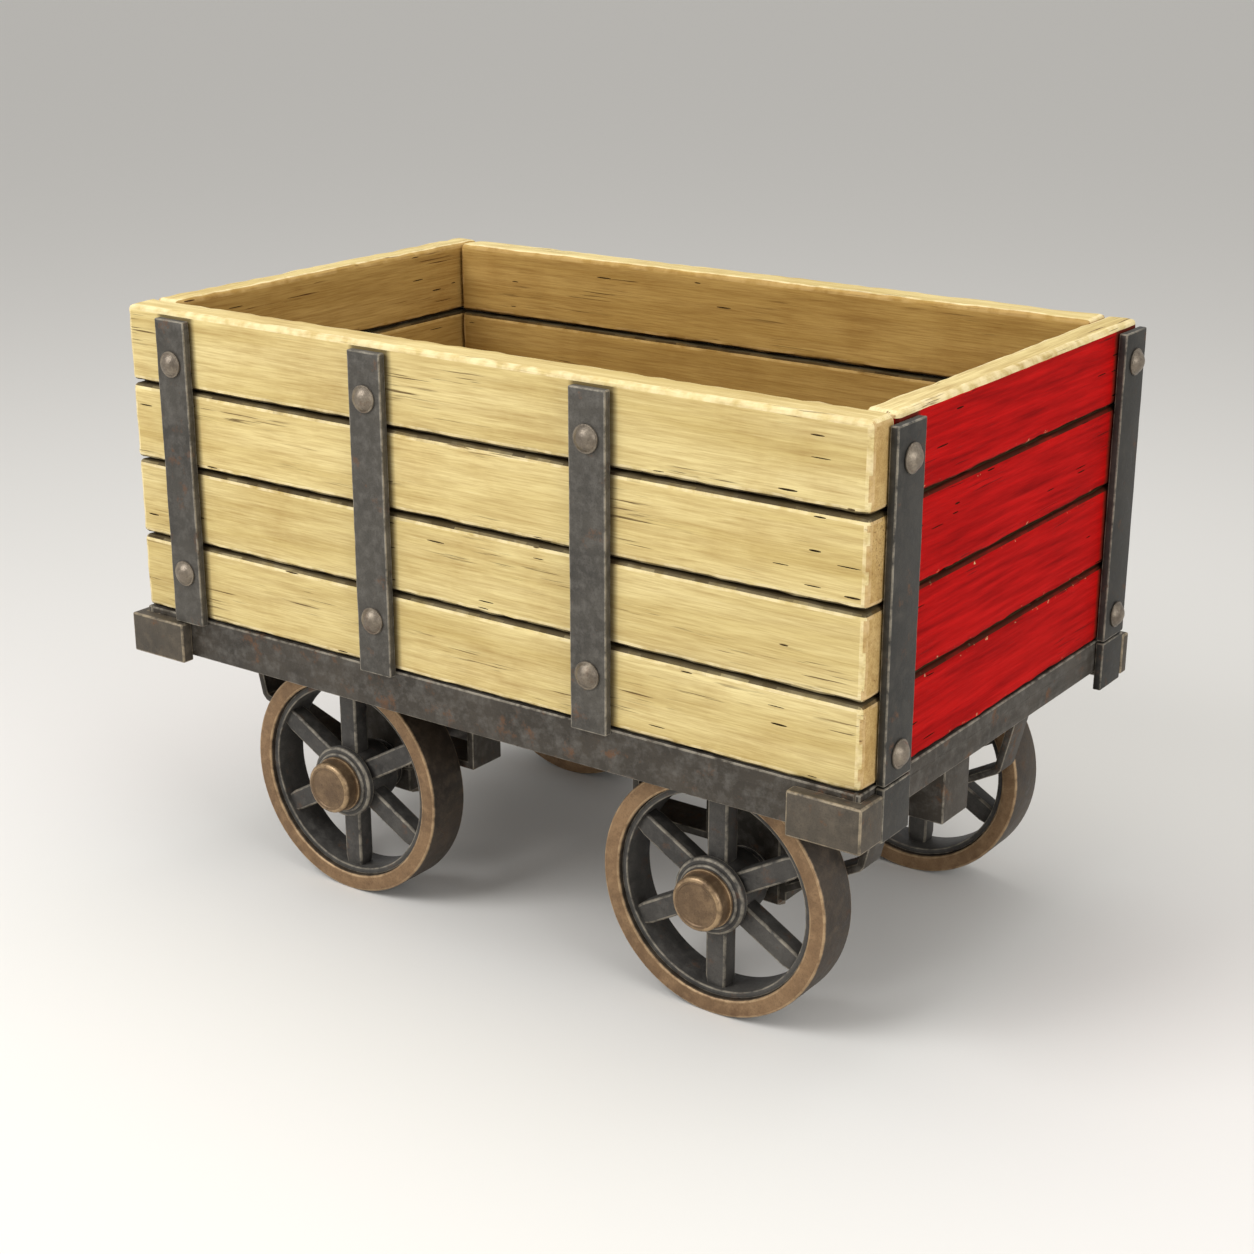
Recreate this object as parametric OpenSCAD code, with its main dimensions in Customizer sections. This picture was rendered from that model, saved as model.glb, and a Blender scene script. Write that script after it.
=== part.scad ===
// Four-plank mine cart: wooden box on an iron frame, four loose spoked wheels on two fixed axles.
// X runs along the cart towards the front end, Y across it, Z up. The origin is on the ground
// under the middle of the cart.

/* [Box] */
// Length of the box over its end planks
body_l = 1340; // [1250:10:1800]
// Width of the box over its side planks
body_w = 814; // [740:2:1000]
// Height of one wall plank
plank_h = 123.5; // [100:0.5:160]
// Open joint between one plank and the next
plank_gap = 2; // [1:0.5:4]
// Thickness of the side planks
side_t = 60; // [52:1:72]
// Thickness of the end planks
end_t = 50; // [46:1:60]
// Thickness of the floor boards
floor_t = 35; // [28:1:50]
// Number of floor boards
floor_boards = 10; // [7:1:14]
// Radius along the long edges of each plank
edge_r = 8; // [3:0.5:12]
// Slack where boards meet at a corner
joint_gap = 1; // [0.5:0.5:3]

/* [Straps] */
// Width of an iron strap on the sides
strap_w = 64; // [50:1:76]
// Thickness of an iron strap
strap_t = 15; // [10:1:20]
// Distance from one side strap to the next
strap_pitch = 400; // [340:5:460]
// Place of the middle side strap, from the middle of the cart
strap_mid_x = -160; // [-180:5:-60]
// How far a strap stops below the rim
strap_drop = 12; // [5:1:30]
// How far a side strap laps over the rail
strap_lap = 8; // [2:1:12]
// Width of an iron strap on the ends
end_strap_w = 76; // [64:1:84]
// How far the first end strap reaches over the ends of the near planks
end_strap_over = 22; // [10:1:24]
// Radius of a domed screw head
dome_r = 21; // [16:1:24]
// Height of a domed screw head
dome_h = 13; // [8:1:18]
// Radius of the strap screws' shanks
screw_r = 8; // [6:0.5:10]
// Height of the lower screws above the plank underside, on the sides
side_screw_z = 79; // [60:1:95]
// Distance of the upper screws below the rim, on the sides
side_screw_drop = 82; // [60:1:95]
// Height of the lower screws above the plank underside, on the ends
end_screw_z = 38; // [28:1:80]
// Distance of the upper screws below the rim, on the ends
end_screw_drop = 60; // [40:1:95]

/* [Frame] */
// Height of the side rails
rail_h = 67; // [62:1:80]
// Height of the end beams
beam_h = 52; // [46:1:60]
// Depth of the rails and end beams, flange tip to back
flange_w = 50; // [46:1:56]
// Thickness of the rails and end beams
rail_t = 8; // [6:0.5:10]
// Width of the lengthwise bearers
bearer_w = 60; // [50:1:66]
// Distance of each bearer from the cart's centre line
bearer_y = 215; // [205:1:222]
// Width of a cross tie
tie_w = 40; // [30:1:50]
// Length of a corner block
block_l = 100; // [80:1:110]
// Height of a corner block
block_h = 66; // [50:1:80]
// How far a corner block stands out from the rail
block_t = 22; // [15:1:30]
// Height of the foot under an end strap
foot_h = 80; // [60:1:100]
// How far that foot stands out from the end beam
foot_t = 15; // [10:1:20]
// Width of the draw beam
draw_w = 70; // [50:1:100]
// Height of the draw beam
draw_h = 105; // [80:1:120]
// Wall of the iron shoe on each end of the draw beam
shoe_t = 5; // [4:0.5:8]
// Length of the shoe
shoe_l = 72; // [60:1:90]
// How far the shoe is set back from the end of the box
shoe_inset = 62; // [54:1:100]

/* [Running gear] */
// Diameter of a wheel over its tread
wheel_d = 380; // [340:5:400]
// Width of the tread
tread_w = 75; // [60:1:80]
// Radial thickness of the tyre
tyre_t = 27; // [20:1:32]
// Distance from the face of the rail to the face of the wheel
wheel_inset = 70; // [66:1:76]
// Height of the plank underside above the axles
deck_drop = 250; // [240:1:300]
// Place of the front axle, from the middle of the cart
front_axle_x = 395; // [350:5:420]
// Place of the rear axle, from the middle of the cart
rear_axle_x = -315; // [-360:5:-270]
// Number of spokes
spokes = 6; // [5:1:8]
// Width of a spoke
spoke_w = 34; // [24:1:40]
// Thickness of a spoke
spoke_t = 30; // [20:1:36]
// How far the spokes are set back from the wheel's face
spoke_inset = 14; // [10:1:20]
// Radius of the collar on the front of the hub
collar_r = 59; // [52:1:64]
// Radius of the hub behind its collar
hub_r = 50; // [46:1:52]
// How far the hub stands out from the wheel's face
hub_out = 10; // [6:1:14]
// Radius of the hub cap
cap_r = 42; // [40:1:46]
// How far the cap stands out from the hub
cap_out = 29; // [27:1:34]
// Radius of an axle between its wheels
axle_r = 28; // [24:1:30]
// Radius of an axle where a wheel runs on it
journal_r = 22; // [18:1:24]
// Radial clearance of a journal in its bush
running_gap = 0.05; // [0.02:0.01:0.1]
// Wall of the bush in a hub
bush_t = 7; // [5:0.5:9]
// Length of an axle pedestal, along the cart
pedestal_l = 110; // [100:1:130]
// Distance from an axle to the upright of its inner knee
knee_reach = 200; // [170:5:230]
// Thickness of the stays and knees
stay_t = 12; // [8:1:14]

/* [Hidden] */
$fn = 64;
ROWS = 4;
SIDES = [-1, 1];
AXLES = [["front", front_axle_x], ["rear", rear_axle_x]];
HANDS = [["near", -1], ["far", 1]];
WOOD = "burlywood";
PAINT = "red";
IRON = "slategray";
BRONZE = "peru";
FIT = 0.2; // slack round a screw or a dowel
PRESS = 0.02; // slack of a part driven on or into another

wheel_r = wheel_d / 2;
axle_z = wheel_r;
deck_z = axle_z + deck_drop;
row_h = plank_h + plank_gap;
rim_z = deck_z + ROWS * row_h - plank_gap;
end_x = body_l / 2;
side_y = body_w / 2;
inner_x = end_x - end_t;
inner_y = side_y - side_t;

strap_top = rim_z - strap_drop;
side_strap_z = deck_z - strap_lap;
side_strap_x = [for (i = [-1:1]) strap_mid_x + i * strap_pitch];
end_strap_y = [-side_y + side_t - end_strap_over + end_strap_w / 2, side_y - end_strap_w / 2];
side_screw_zs = [deck_z + side_screw_z, rim_z - side_screw_drop];
end_screw_zs = [deck_z + end_screw_z, rim_z - end_screw_drop];
screw_grip = 40; // depth of a strap screw in its plank

dowel_r = 6;
dowel_l = 60;
side_dowel_x = [for (x = side_strap_x) x + strap_pitch / 2];
end_dowel_y = [for (s = SIDES) s * side_y / 2];

rail_z = deck_z - rail_h;
beam_z = deck_z - beam_h;
rail_end_x = end_x - rail_t;
bearer_end_x = end_x - flange_w - joint_gap;
tenon_h = beam_h - 2 * rail_t - 2 * joint_gap;
shoe_end_x = end_x - shoe_inset;
shoe_cap_t = 30; // solid front of a shoe
shoe_drop = 22; // how far a shoe hangs below the draw beam
draw_z = rail_z - draw_h;
shoe_z = draw_z - shoe_drop;
shoe_bolt_x = shoe_end_x - (shoe_l + shoe_cap_t) / 2;
knee_xs = [front_axle_x - knee_reach, rear_axle_x + knee_reach];
tie_xs = concat([for (s = SIDES) s * shoe_bolt_x], knee_xs);
block_z = deck_z - strap_lap - joint_gap - block_h;
foot_z = deck_z - joint_gap - foot_h;

lag_r = 5;
lag_head_r = 9.8;
lag_head_h = 8;
wall_lag_l = 45; // depth of a lag screw in a wall plank
wall_lag_offset = 55;
wall_lag_x = [for (x = tie_xs) x - sign(x) * wall_lag_offset];
wall_lag_y = [for (i = [-1:1]) i * (bearer_y + 80)];
floor_w = 2 * inner_x / floor_boards;
floor_x = [for (i = [0:floor_boards - 1]) -inner_x + (i + 0.5) * floor_w];
floor_screw_r = 4;
floor_head_r = 8;
floor_head_h = 6;
floor_screw_l = floor_t + 18;

wheel_y = side_y - wheel_inset; // outer face of a wheel
wheel_back_y = wheel_y - tread_w;
running_end_gap = 0.5;
tyre_in_r = wheel_r - tyre_t;
felloe_t = 10;
felloe_inset = 8;
hub_out_y = wheel_y + hub_out;
hub_step = 4;
bush_r = journal_r + running_gap + bush_t;
cap_wall = 5;
cap_depth = 6; // how far the cap is let into the hub
cap_in_r = cap_r - 8;
cap_spigot_r = cap_r - 4;
washer_r = cap_in_r - 4;
washer_t = 3;
nut_af = 44;
nut_t = 16;
thread_r = 15;
nut_y = hub_out_y + 0.5;
axle_end_y = nut_y + washer_t + nut_t + 2;

pedestal_t = 50;
pedestal_out_y = bearer_y + pedestal_t / 2;
pedestal_flange_l = pedestal_l + 80;
pedestal_flange_t = 14;
keep_h = axle_r + 12;
keep_bolt_x = (axle_r + pedestal_l / 2) / 2;
gear_bolt_r = 6;
gear_head_r = 10.5;
gear_head_h = 8;
gear_grip = 38;
side_grip = 26;
flange_bolt_x = pedestal_l / 2 + 20;
sleeve_r = 42;
knee_w = 70;
knee_z = axle_z + 38;
knee_foot = 48;
knee_plate_h = 70;
knee_bolt_z = knee_z + 44;
stay_w = pedestal_t;
stay_foot_z = axle_z - 30;
stay_foot_h = 110;
stay_bolt_z = axle_z + 60;
stay_tab = 45;
stay_top_x = bearer_end_x - stay_t - joint_gap;
stay_crank = [bearer_end_x - 42, axle_z + 62]; // bend of a stay, outwards along the cart and up

web_in_y = side_y - rail_t;
bolt_r = 5;
bolt_head_r = 7.5;
bolt_head_h = 5;
bolt_grip = 11; // depth of a bolt in a block or a foot
angle_leg = 24;
angle_t = 6;
angle_bolt = 16;
angle_z = beam_z + rail_t + joint_gap;
foot_bolt_y = [end_strap_y[0], web_in_y - angle_leg - bolt_head_r - 3];
draw_bolt_grip = 30;

WHEEL_PARTS = ["wheel", "tyre", "cap", "bush"];

function row_z(i) = deck_z + (i - 1) * row_h;

// The stretch from a to b, measured outwards on side s.
function span(s, a, b) = s < 0 ? [-b, -a] : [a, b];

// A board of section w by h with rounded long edges, running along +X from the origin.
module board(l, w, h, r = edge_r) {
    rotate([90, 0, 90]) linear_extrude(l) rounded(w, h, r);
}

module rounded(w, h, r) {
    translate([r, 0]) square([w - 2 * r, h]);
    translate([0, r]) square([w, h - 2 * r]);
    for (x = [r, w - r], y = [r, h - r]) translate([x, y]) circle(r);
}

// A box between two corners.
module slab(x, y, z) {
    translate([x[0], y[0], z[0]]) cube([x[1] - x[0], y[1] - y[0], z[1] - z[0]]);
}

module rod(r, l) {
    cylinder(r = r, h = l);
}

// Copies at every screw of the side straps on side s, +Z pointing out of the wall.
module at_side_screws(s) {
    for (x = side_strap_x, z = side_screw_zs)
        translate([x, s * (side_y + strap_t), z]) rotate([s * -90, 0, 0]) children();
}

module at_end_screws(s) {
    for (y = end_strap_y, z = end_screw_zs)
        translate([s * (end_x + strap_t), y, z]) rotate([0, s * 90, 0]) children();
}

module strap_screw() {
    ball_r = (dome_r * dome_r + dome_h * dome_h) / (2 * dome_h);
    intersection() {
        translate([0, 0, dome_h - ball_r]) sphere(ball_r);
        rod(dome_r + 1, dome_h);
    }
    translate([0, 0, -strap_t - screw_grip]) rod(screw_r, strap_t + screw_grip + 1);
}

module strap_screw_hole() {
    depth = strap_t + screw_grip + 1;
    translate([0, 0, -depth]) rod(screw_r + FIT, depth + 1);
}

// Hexagon-headed screw or bolt: the head sits under z = 0 and the shank runs up from there.
module hex_bolt(r, head_r, head_h, l) {
    rod(r, l);
    translate([0, 0, -head_h]) cylinder(r = head_r, h = head_h, $fn = 6);
}

module bolt_hole(r, l) {
    translate([0, 0, -1]) rod(r + FIT, l + 2);
}

module at_wall_lags() {
    for (x = wall_lag_x, s = SIDES) translate([x, s * (side_y - side_t / 2), deck_z - rail_t]) children();
    for (y = wall_lag_y, s = SIDES) translate([s * (end_x - end_t / 2), y, deck_z - rail_t]) children();
}

module wall_lag_hole() {
    bolt_hole(lag_r, rail_t + wall_lag_l);
}

module at_side_dowels(s, i) {
    if (i > 1 && i <= ROWS) for (x = side_dowel_x)
        translate([x, s * (side_y - side_t / 2), row_z(i) - plank_gap / 2]) children();
}

module at_end_dowels(s, i) {
    if (i > 1 && i <= ROWS) for (y = end_dowel_y)
        translate([s * (end_x - end_t / 2), y, row_z(i) - plank_gap / 2]) children();
}

module dowel(slack = 0) {
    l = dowel_l + 2 * slack;
    translate([0, 0, -l / 2]) rod(dowel_r + slack, l);
}

// Side plank in row i on side s. The near planks run through, the far ones sit between the ends.
module side_plank(s, i) {
    half_l = s < 0 ? end_x : inner_x - joint_gap;
    color(WOOD) difference() {
        translate([-half_l, s < 0 ? -side_y : inner_y, row_z(i)]) board(2 * half_l, side_t, plank_h);
        if (i == 1 || i == ROWS) at_side_screws(s) strap_screw_hole();
        for (joint = [i, i + 1]) at_side_dowels(s, joint) dowel(FIT);
        if (i == 1) at_wall_lags() wall_lag_hole();
    }
}

// End plank in row i at end s, from the near planks' inner face to the far face of the box.
module end_plank(s, i) {
    l = body_w - side_t - joint_gap;
    color(PAINT) difference() {
        translate([s < 0 ? -inner_x : end_x, side_y - l, row_z(i)]) rotate([0, 0, 90])
            board(l, end_t, plank_h);
        if (i == 1 || i == ROWS) at_end_screws(s) strap_screw_hole();
        for (joint = [i, i + 1]) at_end_dowels(s, joint) dowel(FIT);
        if (i == 1) at_wall_lags() wall_lag_hole();
    }
}

module floor_screw(slack = 0) {
    translate([0, 0, -floor_screw_l - slack]) rod(floor_screw_r + slack, floor_screw_l + slack);
    translate([0, 0, -floor_head_h])
        cylinder(r1 = floor_screw_r + slack, r2 = floor_head_r + slack, h = floor_head_h);
}

module floor_boards() {
    l = 2 * (inner_y - joint_gap);
    w = floor_w - plank_gap;
    color(WOOD) for (x = floor_x) difference() {
        translate([x + w / 2, -l / 2, deck_z]) rotate([0, 0, 90]) board(l, w, floor_t, edge_r / 2);
        for (s = SIDES) translate([x, s * bearer_y, deck_z + floor_t]) floor_screw(FIT);
    }
}

module edge_dowels() {
    color(IRON) for (s = SIDES, i = [2:ROWS]) {
        at_side_dowels(s, i) dowel();
        at_end_dowels(s, i) dowel();
    }
}

// A strap of width w standing on z = 0, its back on y = 0.
module strap(w, l) {
    translate([-w / 2, 0, 0]) linear_extrude(l) rounded(w, strap_t, 2);
}

module side_straps() {
    color(IRON) for (s = SIDES) difference() {
        for (x = side_strap_x)
            translate([x, s < 0 ? -side_y - strap_t : side_y, side_strap_z])
                strap(strap_w, strap_top - side_strap_z);
        at_side_screws(s) strap_screw_hole();
    }
}

module end_straps() {
    color(IRON) for (s = SIDES) difference() {
        for (y = end_strap_y) translate([s < 0 ? -end_x : end_x + strap_t, y, deck_z])
            rotate([0, 0, 90]) strap(end_strap_w, strap_top - deck_z);
        at_end_screws(s) strap_screw_hole();
    }
}

module strap_screws() {
    color(IRON) for (s = SIDES) {
        at_side_screws(s) strap_screw();
        at_end_screws(s) strap_screw();
    }
}

// Side rail: a channel with its back on the face of the box and its mouth inwards.
module side_rail(s) {
    x = [-rail_end_x, rail_end_x];
    mouth_z = [rail_z + rail_t, deck_z - rail_t];
    color(IRON) difference() {
        slab(x, span(s, side_y - flange_w, side_y), [rail_z, deck_z]);
        slab([x[0] - 1, x[1] + 1], span(s, side_y - flange_w - 1, web_in_y), mouth_z);
        at_wall_lags() wall_lag_hole();
        at_block_bolts() frame_bolt_hole();
        at_rail_angle_bolts() frame_bolt_hole();
    }
}

// End beam: a channel between the rails' flanges, with a back as wide as the box.
module end_beam(s) {
    flange_y = side_y - flange_w - joint_gap;
    z = [beam_z, deck_z];
    color(IRON) difference() {
        union() {
            slab(span(s, rail_end_x, end_x), [-side_y, side_y], z);
            slab(span(s, end_x - flange_w, end_x), [-flange_y, flange_y], z);
        }
        slab(span(s, end_x - flange_w - 1, rail_end_x), [-flange_y - 1, flange_y + 1],
            [z[0] + rail_t, z[1] - rail_t]);
        at_wall_lags() wall_lag_hole();
        at_beam_angle_bolts() bolt_hole(bolt_r, rail_t + angle_t);
        at_foot_bolts() frame_bolt_hole();
    }
}

// Lengthwise bearer with a tenon in the mouth of each end beam.
module bearer(s) {
    y = span(s, bearer_y - bearer_w / 2, bearer_y + bearer_w / 2);
    tenon_z = [angle_z, angle_z + tenon_h];
    tenon_x = rail_end_x - joint_gap;
    color(WOOD) difference() {
        union() {
            slab([-bearer_end_x, bearer_end_x], y, [rail_z, deck_z]);
            slab([-tenon_x, tenon_x], y, tenon_z);
        }
        for (x = floor_x) translate([x, s * bearer_y, deck_z + floor_t]) floor_screw(FIT);
        at_flange_bolts() bolt_hole(gear_bolt_r, pedestal_flange_t + gear_grip);
        at_knee_foot_bolts() bolt_hole(gear_bolt_r, stay_t + gear_grip);
        at_stay_top_bolts() bolt_hole(gear_bolt_r, stay_t + gear_grip);
    }
}

// Each tie is a post between the bearers and a shorter one from each bearer into the rail.
module cross_ties() {
    bearer_in_y = bearer_y - bearer_w / 2 - joint_gap;
    bearer_out_y = bearer_y + bearer_w / 2 + joint_gap;
    color(WOOD) for (mid = tie_xs) {
        x = [mid - tie_w / 2, mid + tie_w / 2];
        difference() {
            slab(x, [-bearer_in_y, bearer_in_y], [rail_z, deck_z]);
            at_draw_bolts(rail_z) bolt_hole(gear_bolt_r, draw_bolt_grip);
        }
        for (s = SIDES) slab(x, span(s, bearer_out_y, web_in_y - joint_gap),
            [rail_z + rail_t + joint_gap, deck_z - rail_t - joint_gap]);
    }
}

// Frame bolts point outwards from the inside of a rail or an end beam.
module at_block_bolts() {
    for (e = SIDES, s = SIDES) translate([e * (end_x - block_l / 2), s * web_in_y, deck_z - rail_h / 2])
        rotate([s * -90, 0, 0]) children();
}

module at_rail_angle_bolts() {
    z = angle_z + tenon_h - bolt_head_r - joint_gap;
    for (e = SIDES, s = SIDES)
        translate([e * (rail_end_x - angle_bolt), s * (web_in_y - angle_t), z])
            rotate([s * -90, 0, 0]) children();
}

module at_beam_angle_bolts() {
    z = angle_z + bolt_head_r + joint_gap;
    for (e = SIDES, s = SIDES)
        translate([e * (rail_end_x - angle_t), s * (web_in_y - angle_bolt), z])
            rotate([0, e * 90, 0]) children();
}

module at_foot_bolts() {
    for (e = SIDES, y = foot_bolt_y) translate([e * rail_end_x, y, deck_z - beam_h / 2])
        rotate([0, e * 90, 0]) children();
}

module at_draw_bolts(z) {
    for (x = tie_xs) translate([x, 0, z]) children();
}

module frame_bolt_hole() {
    bolt_hole(bolt_r, angle_t + rail_t + bolt_grip);
}

module frame_bolt(l) {
    hex_bolt(bolt_r, bolt_head_r, bolt_head_h, l);
}

module frame_bolts() {
    color(IRON) {
        at_block_bolts() frame_bolt(rail_t + bolt_grip);
        at_rail_angle_bolts() frame_bolt(angle_t + rail_t + bolt_grip);
        at_beam_angle_bolts() frame_bolt(angle_t + rail_t);
        at_foot_bolts() frame_bolt(rail_t + bolt_grip);
        for (x = tie_xs) {
            z = abs(x) > shoe_end_x - shoe_l ? shoe_z : draw_z;
            translate([x, 0, z])
                hex_bolt(gear_bolt_r, gear_head_r, gear_head_h, rail_z + draw_bolt_grip - z);
        }
    }
}

// Plan of a block that wraps round the corner, up to the foot of the end strap.
module corner_block_plan(e, s) {
    lip_y = abs(end_strap_y[s < 0 ? 0 : 1]) + end_strap_w / 2 + joint_gap;
    polygon([
        [e * (end_x - block_l), s * side_y],
        [e * end_x, s * side_y],
        [e * end_x, s * lip_y],
        [e * (end_x + foot_t), s * lip_y],
        [e * (end_x + foot_t), s * (side_y + block_t)],
        [e * (end_x - block_l), s * (side_y + block_t)],
    ]);
}

module corner_blocks() {
    color(IRON) difference() {
        for (e = SIDES, s = SIDES)
            translate([0, 0, block_z]) linear_extrude(block_h) corner_block_plan(e, s);
        at_block_bolts() frame_bolt_hole();
        at_rail_angle_bolts() frame_bolt_hole();
    }
}

module corner_angles() {
    z = [angle_z, angle_z + tenon_h];
    color(IRON) difference() {
        for (e = SIDES, s = SIDES) {
            slab(span(e, rail_end_x - angle_leg, rail_end_x), span(s, web_in_y - angle_t, web_in_y), z);
            slab(span(e, rail_end_x - angle_t, rail_end_x), span(s, web_in_y - angle_leg, web_in_y), z);
        }
        at_rail_angle_bolts() frame_bolt_hole();
        at_beam_angle_bolts() frame_bolt_hole();
    }
}

module strap_feet() {
    color(IRON) difference() {
        for (e = SIDES, y = end_strap_y)
            slab(span(e, end_x, end_x + foot_t), [y - end_strap_w / 2, y + end_strap_w / 2],
                [foot_z, foot_z + foot_h]);
        at_foot_bolts() frame_bolt_hole();
    }
}

module draw_beam() {
    half_l = shoe_end_x - shoe_cap_t - joint_gap;
    color(WOOD) difference() {
        slab([-half_l, half_l], [-draw_w / 2, draw_w / 2], [draw_z, rail_z]);
        at_draw_bolts(draw_z) bolt_hole(gear_bolt_r, draw_h);
    }
}

module draw_shoes() {
    pocket_y = draw_w / 2 + PRESS;
    color(IRON) for (e = SIDES) difference() {
        slab(span(e, shoe_end_x - shoe_l, shoe_end_x), [-draw_w / 2 - shoe_t, draw_w / 2 + shoe_t],
            [shoe_z, rail_z]);
        slab(span(e, shoe_end_x - shoe_l - 1, shoe_end_x - shoe_cap_t), [-pocket_y, pocket_y],
            [draw_z, rail_z + 1]);
        at_draw_bolts(shoe_z) bolt_hole(gear_bolt_r, shoe_drop);
    }
}

module deck_screws() {
    color(IRON) {
        at_wall_lags() hex_bolt(lag_r, lag_head_r, lag_head_h, rail_t + wall_lag_l);
        for (x = floor_x, s = SIDES) translate([x, s * bearer_y, deck_z + floor_t]) floor_screw();
    }
}

// Copies at the four axle ends, +X pointing towards the middle of the cart.
module at_axle_ends() {
    for (a = AXLES, s = SIDES)
        translate([a[1], s * bearer_y, 0]) rotate([0, 0, a[1] > 0 ? 180 : 0]) children();
}

module at_flange_bolts() {
    at_axle_ends() for (e = SIDES) translate([e * flange_bolt_x, 0, rail_z - pedestal_flange_t]) children();
}

module at_knee_foot_bolts() {
    at_axle_ends() translate([knee_reach + knee_foot / 2, 0, rail_z - stay_t]) children();
}

module at_stay_top_bolts() {
    for (e = SIDES, s = SIDES)
        translate([e * (stay_top_x - stay_tab / 2), s * bearer_y, rail_z - stay_t]) children();
}

module at_knee_side_bolts() {
    at_axle_ends() translate([pedestal_l / 2 + stay_t, 0, knee_bolt_z]) rotate([0, -90, 0]) children();
}

module at_stay_side_bolts() {
    at_axle_ends() translate([-pedestal_l / 2 - stay_t, 0, stay_bolt_z]) rotate([0, 90, 0]) children();
}

module at_keep_bolts() {
    at_axle_ends() for (e = SIDES) translate([e * keep_bolt_x, 0, axle_z - keep_h]) children();
}

module gear_bolt(l) {
    hex_bolt(gear_bolt_r, gear_head_r, gear_head_h, l);
}

module gear_bolts() {
    color(IRON) {
        at_flange_bolts() gear_bolt(pedestal_flange_t + gear_grip);
        at_knee_foot_bolts() gear_bolt(stay_t + gear_grip);
        at_stay_top_bolts() gear_bolt(stay_t + gear_grip);
        at_knee_side_bolts() gear_bolt(stay_t + side_grip);
        at_stay_side_bolts() gear_bolt(stay_t + side_grip);
        at_keep_bolts() gear_bolt(keep_h + gear_grip);
    }
}

module axle_bore() {
    translate([0, 0, axle_z]) rotate([90, 0, 0])
        cylinder(r = axle_r + PRESS, h = pedestal_t + 2, center = true);
}

module axle_pedestals() {
    y = [-pedestal_t / 2, pedestal_t / 2];
    color(IRON) difference() {
        at_axle_ends() difference() {
            union() {
                slab([-pedestal_l / 2, pedestal_l / 2], y, [axle_z, rail_z]);
                slab([-pedestal_flange_l / 2, pedestal_flange_l / 2], y,
                    [rail_z - pedestal_flange_t, rail_z]);
            }
            axle_bore();
        }
        at_flange_bolts() bolt_hole(gear_bolt_r, pedestal_flange_t);
        at_knee_side_bolts() bolt_hole(gear_bolt_r, stay_t + side_grip);
        at_stay_side_bolts() bolt_hole(gear_bolt_r, stay_t + side_grip);
        at_keep_bolts() bolt_hole(gear_bolt_r, keep_h + gear_grip);
    }
}

module axle_keeps() {
    color(IRON) difference() {
        at_axle_ends() difference() {
            slab([-pedestal_l / 2, pedestal_l / 2], [-pedestal_t / 2, pedestal_t / 2],
                [axle_z - keep_h, axle_z]);
            axle_bore();
        }
        at_keep_bolts() bolt_hole(gear_bolt_r, keep_h);
    }
}

// The step across a stay's thickness, for a stretch from a to b.
function across(a, b) = [b[1] - a[1], a[0] - b[0]] * stay_t / norm(b - a);

// Cranked stay from the outer face of a pedestal up to the end of the bearer, drawn for the end e.
module stay_side(axle_x, e) {
    foot_x = e * axle_x + pedestal_l / 2;
    foot = [foot_x + stay_t / 2, stay_foot_z + 2 * stay_t];
    top = [stay_top_x, rail_z];
    low = across(foot, stay_crank);
    high = across(stay_crank, top);
    translate([foot_x, stay_foot_z]) square([stay_t, stay_foot_h]);
    polygon([foot, stay_crank, top, top + high, stay_crank + high, stay_crank + low, foot + low]);
    translate([stay_top_x - stay_tab, rail_z - stay_t]) square([stay_tab + stay_t / 2, stay_t]);
}

module axle_stays() {
    color(IRON) difference() {
        for (i = [0, 1], s = SIDES) {
            e = i == 0 ? 1 : -1;
            translate([0, s * bearer_y + stay_w / 2, 0]) mirror([i, 0, 0]) rotate([90, 0, 0])
                linear_extrude(stay_w) stay_side(AXLES[i][1], e);
        }
        at_stay_top_bolts() bolt_hole(gear_bolt_r, stay_t);
        at_stay_side_bolts() bolt_hole(gear_bolt_r, stay_t);
    }
}

// Knee from the inner face of a pedestal out level, then up to the bearer.
module axle_knees() {
    near = pedestal_l / 2;
    color(IRON) difference() {
        at_axle_ends() translate([0, knee_w / 2, 0]) rotate([90, 0, 0]) linear_extrude(knee_w) {
            translate([near, knee_z]) square([stay_t, knee_plate_h]);
            translate([near, knee_z]) square([knee_reach - near, stay_t]);
            translate([knee_reach - stay_t, knee_z]) square([stay_t, rail_z - knee_z]);
            translate([knee_reach - stay_t, rail_z - stay_t]) square([knee_foot + stay_t, stay_t]);
        }
        at_knee_foot_bolts() bolt_hole(gear_bolt_r, stay_t);
        at_knee_side_bolts() bolt_hole(gear_bolt_r, stay_t);
    }
}

module axle(x) {
    shoulder_y = wheel_back_y - running_end_gap;
    color(IRON) translate([x, 0, axle_z]) rotate([90, 0, 0]) {
        cylinder(r = axle_r, h = 2 * shoulder_y, center = true);
        cylinder(r = journal_r, h = 2 * nut_y, center = true);
        cylinder(r = thread_r, h = 2 * axle_end_y, center = true);
    }
}

// Copies at the four wheels, on the wheel's axis, +Z pointing out of the cart.
module at_wheel(x, s) {
    translate([x, 0, axle_z]) rotate([s * -90, 0, 0]) children();
}

module at_wheels() {
    for (a = AXLES, s = SIDES) at_wheel(a[1], s) children();
}

// Ribbed sleeve between a pedestal and the back of a hub.
module axle_sleeves() {
    l = wheel_back_y - pedestal_out_y - 2 * running_end_gap;
    rib = l / 5;
    color(IRON) at_wheels() translate([0, 0, pedestal_out_y + running_end_gap]) difference() {
        union() {
            rod(sleeve_r - 5, l);
            for (i = [0, 2, 4]) translate([0, 0, i * rib]) rod(sleeve_r, rib);
        }
        translate([0, 0, -1]) rod(axle_r + PRESS, l + 2);
    }
}

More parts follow.
